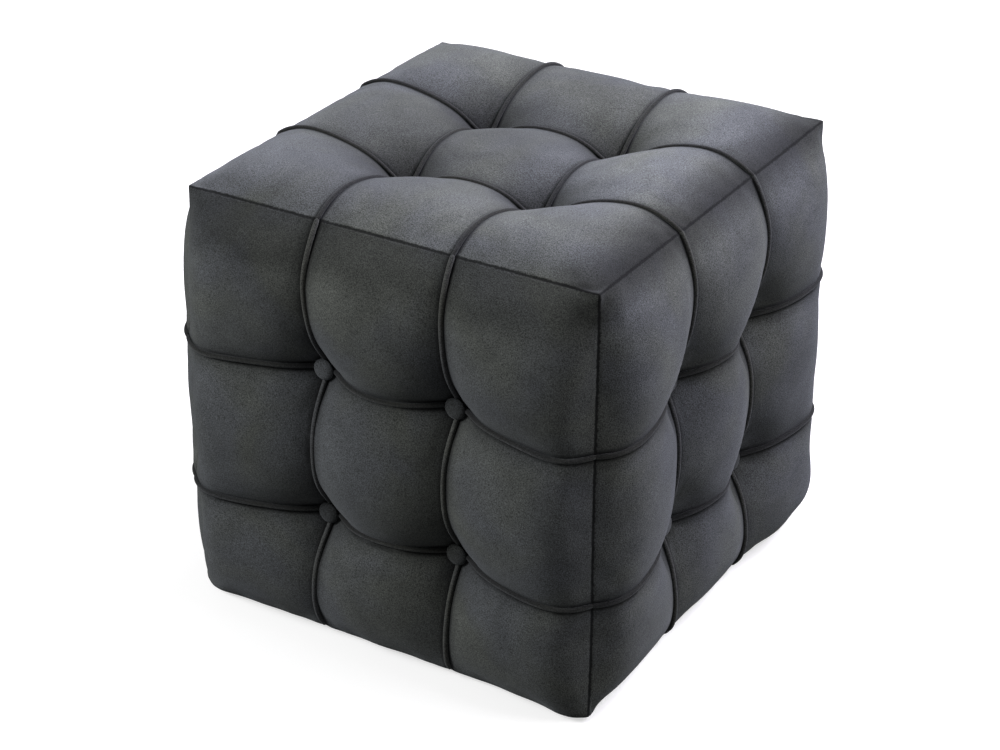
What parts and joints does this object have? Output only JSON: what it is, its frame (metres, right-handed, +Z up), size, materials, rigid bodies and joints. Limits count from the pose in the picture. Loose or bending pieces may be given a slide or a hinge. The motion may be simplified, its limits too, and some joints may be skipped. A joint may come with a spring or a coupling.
{
  "type": "cube pouf stool",
  "caption": "Cube-shaped filled velvet pouf, quilted in squares on five faces with piping in the seams, covered buttons on the crossings and a flat underside. A low seat or footrest.",
  "frame": {"origin": "the middle of the underside, on the surface that the pouf stands on", "axes": "+Z up, the front quilted face towards -Y, the right one towards +X"},
  "size_m": [0.4627, 0.467, 0.4229],
  "materials": {
    "velvet": "charcoal grey short-pile velvet, matt with a soft sheen",
    "velvet_piping": "the same charcoal velvet over a thin cord",
    "velvet_button": "the same charcoal velvet over a domed button",
    "black_underside": "thin black lining cloth"
  },
  "bodies": {
    "root": {"cover": "velvet", "welt_front_column_1": "velvet_piping", "welt_front_column_2": "velvet_piping", "welt_front_row_1": "velvet_piping", "welt_front_row_2": "velvet_piping", "welt_right_column_1": "velvet_piping", "welt_right_column_2": "velvet_piping", "welt_right_row_1": "velvet_piping", "welt_right_row_2": "velvet_piping", "welt_back_column_1": "velvet_piping", "welt_back_column_2": "velvet_piping", "welt_back_row_1": "velvet_piping", "welt_back_row_2": "velvet_piping", "welt_left_column_1": "velvet_piping", "welt_left_column_2": "velvet_piping", "welt_left_row_1": "velvet_piping", "welt_left_row_2": "velvet_piping", "welt_top_column_1": "velvet_piping", "welt_top_column_2": "velvet_piping", "welt_top_row_1": "velvet_piping", "welt_top_row_2": "velvet_piping", "button_front_1": "velvet_button", "button_front_2": "velvet_button", "button_front_3": "velvet_button", "button_front_4": "velvet_button", "button_right_1": "velvet_button", "button_right_2": "velvet_button", "button_right_3": "velvet_button", "button_right_4": "velvet_button", "button_back_1": "velvet_button", "button_back_2": "velvet_button", "button_back_3": "velvet_button", "button_back_4": "velvet_button", "button_left_1": "velvet_button", "button_left_2": "velvet_button", "button_left_3": "velvet_button", "button_left_4": "velvet_button", "button_top_1": "velvet_button", "button_top_2": "velvet_button", "button_top_3": "velvet_button", "button_top_4": "velvet_button", "underside": "black_underside"}
  },
  "joints": []
}
